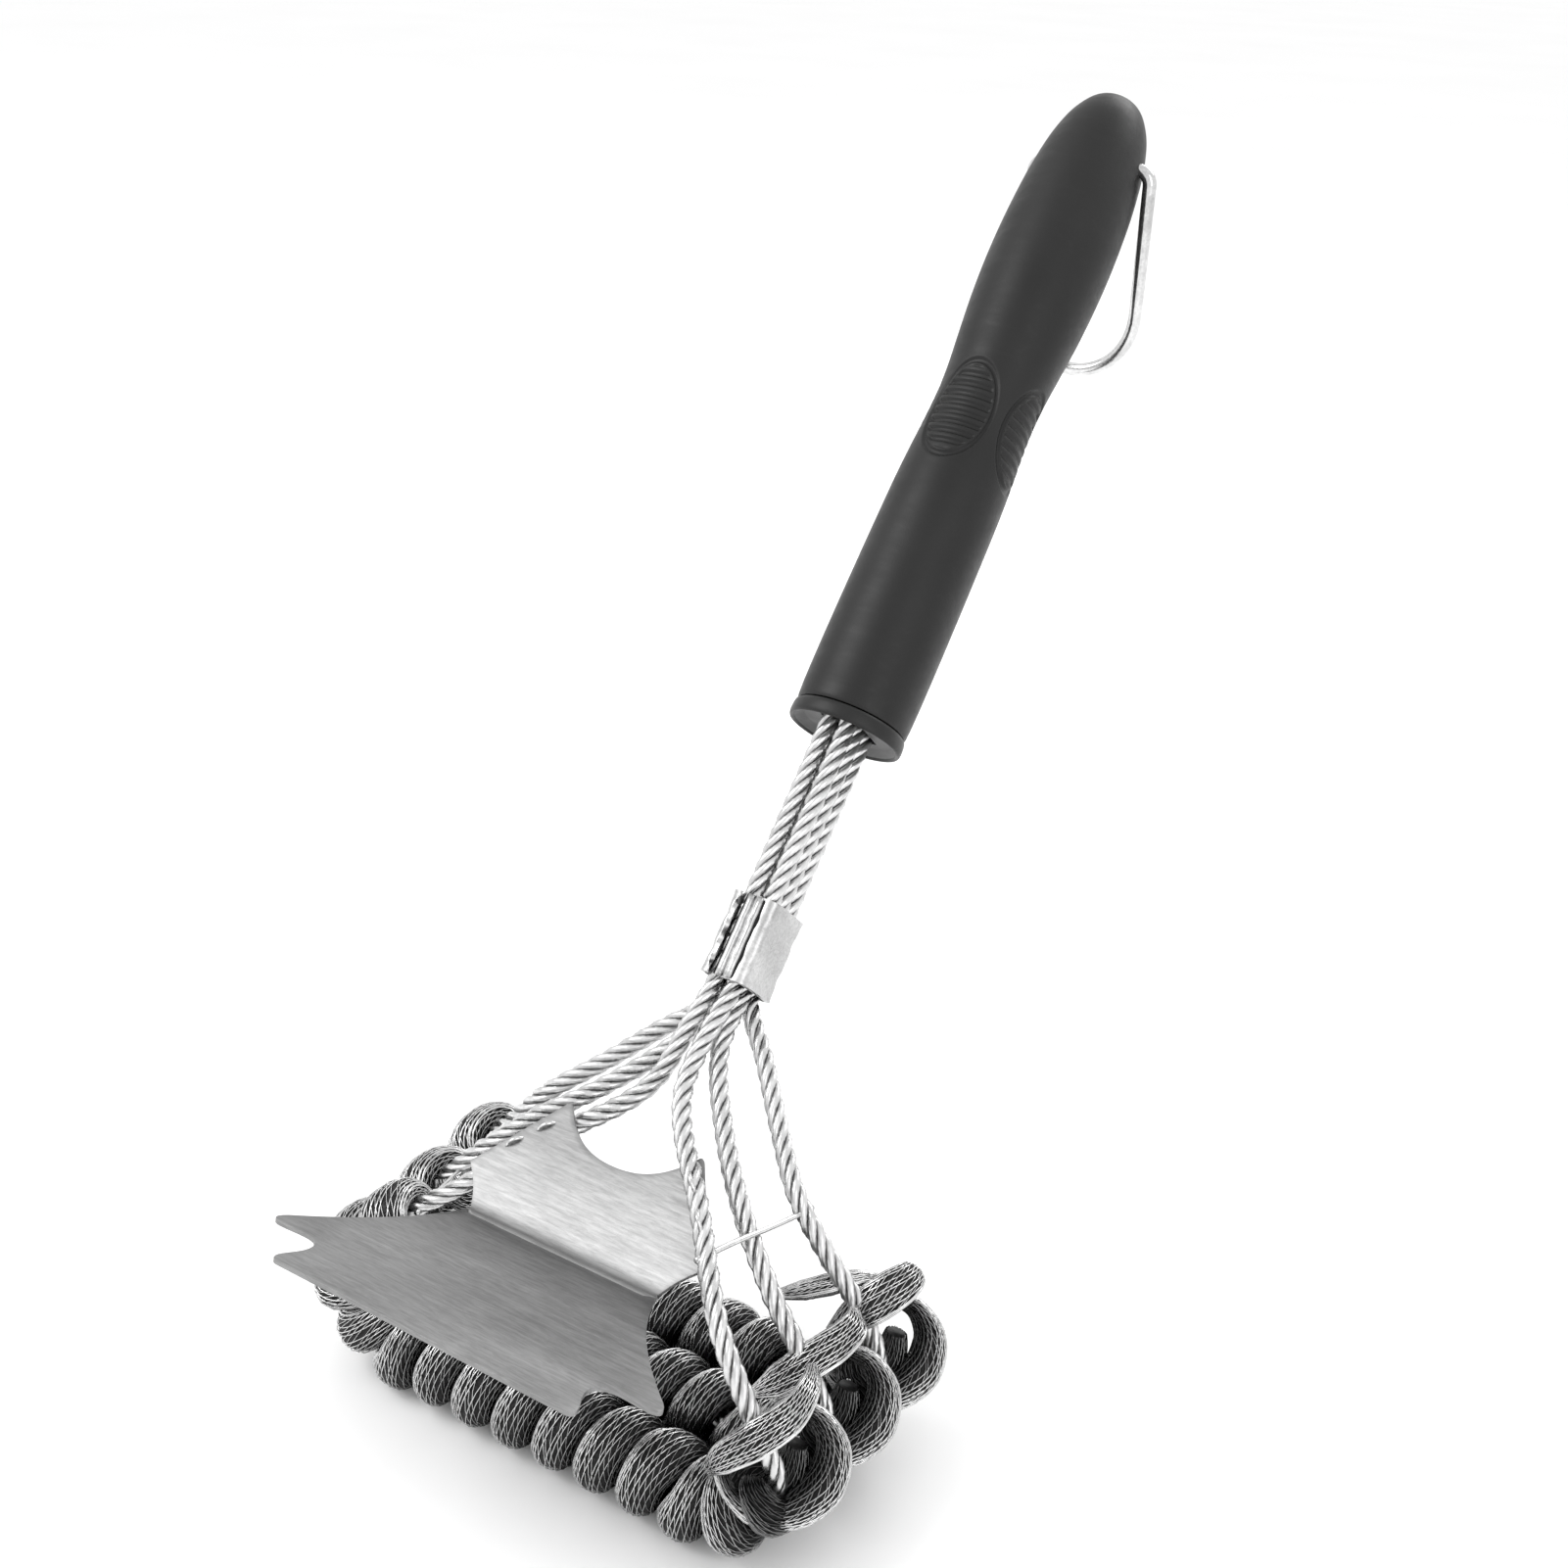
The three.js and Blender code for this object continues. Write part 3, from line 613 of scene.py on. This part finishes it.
END_TUCK = ((58, 0, 15, 4.0, 3.0), (63, 4, 20, 6.4, 4.4), (66, 8, 26, 6.4, 4.4), (66, 10, 31, 3.6, 2.6))
END_LOOPS = ((53, -3, 26.5, 2.2, 1.6), (57.5, -5.5, 23, 3.0, 2.0), (64, -5, 20, 4.2, 2.6),
             (71, 0, 20.5, 6.0, 4.2), (75, 8, 24.5, 6.6, 5.0), (73.5, 14, 30.5, 5.6, 4.2),
             (68, 16, 35.5, 3.6, 2.6), (62, 14, 37.5, 2.0, 1.4))


LOOP_HEART = (58, 4, 31.5)       # the loops and straps turn round this point of their row


def strap(name, rows, y, dimming=1.0):
    line = Path(centripetal([(p[0], p[1] + y, p[2]) for p in rows], 12))
    s = np.linspace(0, line.length, int(line.length / 1.5))
    centre, along, _, _ = line.frame(s)
    knots = np.linspace(0, line.length, len(rows))
    half, thick = (np.interp(s, knots, [p[k] for p in rows]) for k in (3, 4))
    outward = unit(centre - (LOOP_HEART + y * Y))
    rho = unit(outward - along * (outward * along).sum(-1, keepdims=True))
    Sleeve(name, centre, rho, np.cross(along, rho), thick, half, 0.0, (), dimming)


for name, rows in STRAPS.items():
    strap(name, rows, LAYER[name.split("_")[0]] * ROW_GAP)
for name, layer in LAYER.items():
    strap(f"{name}_end_loop", END_LOOPS, layer * ROW_GAP)
    # the tuck inside each end loop is dimmed to 0.3, painted shade in the loop's hole
    strap(f"{name}_end_tuck", END_TUCK, layer * ROW_GAP, 0.3)


# ---- scraper: one bent sheet with rounded fold and rolled edges ----
FOLD_R = 4.0
BEND_REACH = FOLD_R * math.acos(float(-LOWER_DIR @ UPPER_DIR)) / 2


def bezier(p0, p1, p2, p3, n=10):
    t = np.linspace(0, 1, n)[:, None]
    p0, p1, p2, p3 = (np.array(p, float) for p in (p0, p1, p2, p3))
    return (1 - t) ** 3 * p0 + 3 * (1 - t) ** 2 * t * p1 + 3 * (1 - t) * t * t * p2 + t ** 3 * p3


def on_sheet(x, v):
    """Point of the sheet at x across and v along it (v above the fold, negative below)."""
    x, v = np.broadcast_arrays(np.asarray(x, float), np.asarray(v, float))
    turn = math.acos(float(-LOWER_DIR @ UPPER_DIR))
    reach = FOLD_R * math.tan(turn / 2)
    arc = FOLD_R * turn
    n_up = np.cross(X, UPPER_DIR)
    centre = FOLD + UPPER_DIR * reach + n_up * FOLD_R
    angle = np.clip(v / (arc / 2), -1, 1) * turn / 2
    mid = unit(n_up - np.cross(X, LOWER_DIR))
    tangent = unit(UPPER_DIR - LOWER_DIR)
    bend = centre + FOLD_R * (np.sin(angle)[..., None] * tangent - np.cos(angle)[..., None] * mid)
    upper = FOLD + UPPER_DIR * (np.maximum(v, 0) - arc / 2 + reach)[..., None]
    lower = FOLD + LOWER_DIR * (np.maximum(-v, 0) - arc / 2 + reach)[..., None]
    flat = np.where((v > 0)[..., None], upper, lower)
    out = np.where((np.abs(v) < arc / 2)[..., None], bend, flat)
    return out + x[..., None] * X


def scraper():
    # half-width of the lower panel against distance below the fold
    edge = np.vstack([bezier((FOLD_HALF, 0), (33, 13), (42, 24), (55.8, 36), 16),
                      bezier((55.8, 36), (57.6, 37.8), (58, 39.4), (55.6, 39.8), 6)[1:],
                      bezier((55.6, 39.8), (50, 40.2), (43, 37.5), (41.2, 42.6), 12)[1:],
                      bezier((41.2, 42.6), (40.4, 47), (45.5, 50.2), (43.8, 52.6), 10)[1:],
                      bezier((43.8, 52.6), (43.4, 53.2), (42.4, 53.2), (41.6, 53.2), 4)[1:]])
    # the upper boundary: ear corner, up the outer edge, ear tip, arc, and the mirror image
    half = np.vstack([bezier((0, 24.3), (8, 24.3), (14, 27), (19.6, 34.5), 20),
                      bezier((19.6, 34.5), (20.1, 35.4), (20.8, 35.4), (21.4, 34.3), 5)[1:],
                      bezier((21.4, 34.3), (26.5, 26.5), (31.7, 18.6), (36.8, 10.8), 12)[1:]])
    top = np.vstack([half[:0:-1] * [-1, 1], half])
    share = np.concatenate([[0], np.cumsum(np.linalg.norm(np.diff(top, axis=0), axis=1))])
    share = share / share[-1]
    # columns keep the boundary's own points so that the tips stay sharp
    base = np.interp(share, [0, 1], [-FOLD_HALF, FOLD_HALF])
    rows = 14
    t = np.linspace(0, 1, rows)[:, None]
    bulge = np.sin(np.pi * t) * 0.9 * np.sign(base)[None] * (np.abs(base) / FOLD_HALF)[None] ** 8
    ux = (1 - t) * base[None] + t * top[None, :, 0] - bulge
    climb = t * top[None, :, 1]
    upper = on_sheet(ux, climb)
    # the bend is a grid that carries on from the upper panel; the flat lower panel is one face
    share = base / FOLD_HALF
    bend_v = np.linspace(-BEND_REACH, 0, 8)[:-1]
    bend_half = np.interp(-bend_v, edge[:30, 1], edge[:30, 0])
    bend = on_sheet(bend_half[:, None] * share[None], bend_v[:, None])
    grid = np.concatenate([bend, upper])
    faces = grid_faces(len(grid), len(base), wrap_cols=False).tolist()
    rim = edge[edge[:, 1] > BEND_REACH + 0.5]
    rim = np.vstack([rim * [1, -1], rim[::-1] * [-1, -1]])
    verts = np.vstack([grid.reshape(-1, 3), on_sheet(rim[:, 0], rim[:, 1])])
    first = grid.shape[0] * grid.shape[1]
    faces.append(list(range(len(base))) + list(range(first, first + len(rim))))
    obj = new_mesh("scraper_sheet", verts, faces)
    thicken(obj, SHEET)
    bevel_edges(obj, 0.28, 50)
    return ride(obj, SHEET_STEEL, replaces=["scraper_blade"])


scraper()


NECK_END_Z = 92.5        # the ropes spread to their rows below this height


def staple_points(side, v, steps=40):
    sign = 1 if side == "right" else -1
    path = LOOPS["front"]
    n = np.cross(X, UPPER_DIR)
    s = where(path, lambda p: p[2] < NECK_END_Z and (p - FOLD) @ UPPER_DIR < v, sign < 0)
    p, t, _, _ = path.frame(np.array([s]))
    p, t = p[0], unit(t[0] - n * (t[0] @ n))
    rise = -(p - FOLD) @ n
    top, bottom = max(ROPE_R + 0.9, rise + 1.6), min(-ROPE_R - 0.9, rise - 1.6)
    a = 2 * np.pi * np.arange(steps) / steps
    return (p + n * (top + bottom) / 2 + 3.4 * np.cos(a)[:, None] * t
            + (top - bottom) / 2 * np.sin(a)[:, None] * n)


for side in ("left", "right"):
    for place, v in zip(("upper", "lower"), STAPLES):
        ride(tube(f"{side}_{place}_staple_wire", staple_points(side, v), 0.55, 10, True), BRIGHT,
             replaces=[f"{side}_{place}_staple"])

for side, ends in TIE_RODS.items():
    a, b = (np.array(p, float) for p in ends)
    t = np.linspace(0, 1, 24)[:, None]
    bow = 0.35 * np.sin(2 * np.pi * t) * Z
    ride(tube(f"{side}_tie_wire", a + (b - a) * t + bow, 0.75, 12), BRIGHT,
         replaces=[f"{side}_tie_rod"])


# ---- ferrule ----
def rounded_box_outline(x, y, r, per_corner=6):
    pts = []
    corners = ((x - r, -y + r, -90), (x - r, y - r, 0), (-x + r, y - r, 90), (-x + r, -y + r, 180))
    for cx, cy, a0 in corners:
        for a in np.radians(np.linspace(a0, a0 + 90, per_corner)):
            pts.append((cx + r * math.cos(a), cy + r * math.sin(a)))
    return np.array(pts)


def ferrule():
    wall = 1.3
    # strip centre line from the right lip of the seam, round the bundle, to the left lip
    ring = rounded_box_outline(BUNDLE_HALF_X + wall / 2, BUNDLE_HALF_Y + wall / 2, 2.2, 8)
    front = -BUNDLE_HALF_Y - wall / 2
    strip = np.vstack([[(2.2, front - 0.9), (1.3, front - 0.75), (0.4, front - 0.25), (1.4, front)],
                       ring, [(-4.6, front)]])
    path = Path(np.c_[strip, np.zeros(len(strip))], side=Z)
    s = np.linspace(0, path.length, 90)
    p, t, _, _ = path.frame(s)
    normal = np.cross(t, Z)
    rows = 26
    h = np.linspace(0, 1, rows)
    base_h = -NECK_LENGTH - FERRULE_LENGTH
    crimp = 0.35 * np.exp(-((h - 0.28) / 0.07) ** 2) + 0.35 * np.exp(-((h - 0.72) / 0.07) ** 2)
    flare = 0.25 * (np.exp(-h / 0.04) + np.exp(-(1 - h) / 0.04))
    offs = (flare - crimp)[:, None, None] * normal[None]
    q = p[None] + offs
    world = on_handle(q[..., 0], q[..., 1], base_h + h[:, None] * FERRULE_LENGTH * np.ones(len(s)))
    obj = new_mesh("ferrule_band", world, grid_faces(rows, len(s), wrap_cols=False))
    thicken(obj, wall)
    bevel_edges(obj, 0.3)
    ride(obj, BAND, replaces=["ferrule"])
    # the two rolled lips down the seam, with thin near-black tubes in the crevices beside them as painted
    # shadow
    ends = np.linspace(base_h + 0.2, base_h + FERRULE_LENGTH - 0.2, 12)
    for k, x in enumerate((-0.7, 2.1)):
        lip = on_handle(x + 0.05 * np.sin(ends), front - 0.6, ends)
        ride(tube(f"ferrule_lip_{k}", lip, 1.05, 14), BAND)
    for k, x in enumerate((-1.9, 0.7, 3.35)):
        crevice = on_handle(x + 0.04 * np.sin(ends * 1.7), front - 0.45, ends)
        ride(tube(f"ferrule_shadow_strip_{k}", crevice, 0.42, 8), CREVICE_SHADOW)


ferrule()


# ---- handle ----
def smooth_profile(points, per=8):
    p = centripetal([[h, r, 0] for h, r in points], per)
    return p[:, 0], np.maximum(p[:, 1], 0)


OVAL_AT = 96               # height of the grip ovals' middle on the handle
OVAL_HALF_HEIGHT, OVAL_HALF_WIDTH = 16, 10.2
OVAL_RADIUS = 15           # turns an angle round the handle into a distance across an oval
RIDGE_PITCH = 3.1
RELIEF = 0.65


def oval_relief(h, angle):
    """Depth of the grip ovals: a rim groove and nine ridges, four times round the handle."""
    depth = np.zeros(np.broadcast(h, angle).shape)
    for k in range(4):
        across = OVAL_RADIUS * (np.mod(angle - k * np.pi / 2 + np.pi, 2 * np.pi) - np.pi)
        d = np.sqrt(((h - OVAL_AT) / OVAL_HALF_HEIGHT) ** 2 + (across / OVAL_HALF_WIDTH) ** 2)
        rim = np.exp(-((d - 0.95) / 0.055) ** 4)
        inside = np.clip((0.86 - d) / 0.04, 0, 1)
        ridges = 0.5 - 0.5 * np.cos(2 * np.pi * (h - OVAL_AT) / RIDGE_PITCH)
        depth = np.maximum(depth, np.maximum(rim, inside * np.clip(ridges * 1.6 - 0.3, 0, 1)))
    return RELIEF * depth


def handle():
    h, r = smooth_profile(HANDLE_PROFILE)
    fine = np.arange(78, 114, 0.3)
    grid_h = np.unique(np.concatenate([h, fine]))
    grid_r = np.interp(grid_h, h, r)
    seg = 288
    ang = 2 * np.pi * np.arange(seg) / seg        # 0 faces up and forward, local -Y
    rr = grid_r[:, None] - oval_relief(grid_h[:, None], ang[None])
    outer_h = np.broadcast_to(grid_h[:, None], rr.shape)
    outer = on_handle(rr * np.sin(ang), -rr * np.cos(ang), outer_h)
    # bore: open at the lower end, closed above
    ih = np.array([4.8, 4.8, 20, 60, 110, 162, 170, 176])
    ir = np.array([14.9, BORE_R, BORE_R, BORE_R, BORE_R, BORE_R, BORE_R - 3, 0.02])
    inner = on_handle(ir[:, None] * np.sin(ang), -ir[:, None] * np.cos(ang),
                      np.broadcast_to(ih[:, None], (len(ih), seg)))
    grid = np.concatenate([inner[::-1], outer])
    obj = new_mesh("grip_shell", grid, grid_faces(len(grid), seg))
    return ride(obj, GRIP, replaces=["handle_grip"])


handle()


def collar():
    seg = 192
    ang = 2 * np.pi * np.arange(seg) / seg
    prof = [(2.5, 6.6), (2.5, 12.6), (2.3, 12.9), (0.6, 14.9), (0.1, 15.3), (-0.05, 15.7), (0.1, 16.1),
            (0.5, 16.3), (1.5, 16.4), (3.3, 16.3), (4.2, 16.1), (4.45, 15.7), (4.5, 12.1), (10, 12.0),
            (10, 6.6)]
    h, r = (np.array(v)[:, None] for v in zip(*prof))
    x, y = r * np.sin(ang), -r * np.cos(ang)
    # the two innermost rings follow the slot round the rope bundle
    k = np.minimum(BUNDLE_HALF_X / np.maximum(np.abs(np.sin(ang)), 1e-6),
                   BUNDLE_HALF_Y / np.maximum(np.abs(np.cos(ang)), 1e-6))
    for row in (0, -1):
        x[row], y[row] = k * np.sin(ang), -k * np.cos(ang)
    grid = on_handle(x, y, np.broadcast_to(h, x.shape))
    obj = new_mesh("collar_ring", grid, grid_faces(len(prof), seg, wrap_rows=True))
    bevel_edges(obj, 0.2, 50)
    ride(obj, COLLAR, replaces=["handle_collar"])
    obj.data.materials.append(COLLAR_FLOOR)
    for face in obj.data.polygons[:3 * seg]:
        face.material_index = 1
    return obj


collar()
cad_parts["wire_anchor"].data.materials.clear()
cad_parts["wire_anchor"].data.materials.append(BAND)


def hanging_loop():
    corner = 4
    a = np.radians(np.linspace(0, 90, 9))
    pts = [(9, 0, 0)]
    pts += [(BAIL_HALF - corner + corner * math.sin(q), 0, -corner + corner * math.cos(q)) for q in a]
    a = np.radians(np.linspace(0, 90, 15))
    pts += [(BAIL_HALF * math.cos(q), 0, -(BAIL_DROP - BAIL_HALF) - BAIL_HALF * math.sin(q)) for q in a]
    pts = np.array(pts)
    pts = np.vstack([pts, pts[-2::-1] * [-1, 1, 1]])
    pivot = on_handle(0, 0, BAIL_H)
    ride(tube("loop_wire", pts + pivot, BAIL_R, 20), BRIGHT, body="loop", replaces=["hang_loop"])


hanging_loop()

# ---- floor, light ----
FLOOR_HALF = 9000


def floor_material():
    n = Nodes("pale_floor")
    tone = n.ramp(n.noise(n.coords((1, 1, 1)), 3.0, 2), [(0.3, 0.93), (0.7, 0.95)])
    rough = n.ramp(n.noise(n.coords((1, 1, 1)), 9.0, 2), [(0.3, 0.8), (0.7, 0.9)])
    return n.finish(tone, rough)


floor = new_mesh("floor", [(-FLOOR_HALF, -FLOOR_HALF, 0), (FLOOR_HALF, -FLOOR_HALF, 0),
                           (FLOOR_HALF, FLOOR_HALF, 0), (-FLOOR_HALF, FLOOR_HALF, 0)], [(0, 1, 2, 3)])
floor.data.materials.append(floor_material())


def area_light(name, at, target, size, power):
    data = bpy.data.lights.new(name, "AREA")
    data.shape = "RECTANGLE"
    data.size, data.size_y = size
    data.energy = power
    obj = bpy.data.objects.new(name, data)
    obj.location = at
    obj.rotation_mode = "QUATERNION"
    obj.rotation_quaternion = (Vector(target) - Vector(at)).to_track_quat("-Z", "Y")
    bpy.context.scene.collection.objects.link(obj)


AIM = (0, 0.05, 0.1)
area_light("key", (-0.9, -0.7, 1.3), AIM, (0.9, 0.9), 12)
area_light("fill", (1.3, -0.6, 0.8), AIM, (0.7, 1.2), 4)
area_light("back", (0.2, 1.5, 1.2), AIM, (1.2, 0.6), 8)
world = bpy.data.worlds.new("studio")
bpy.context.scene.world = world
world.use_nodes = True
world.node_tree.nodes["Background"].inputs["Color"].default_value = (1, 1, 1, 1)
world.node_tree.nodes["Background"].inputs["Strength"].default_value = 1.05
bpy.context.scene.view_settings.view_transform = "Standard"
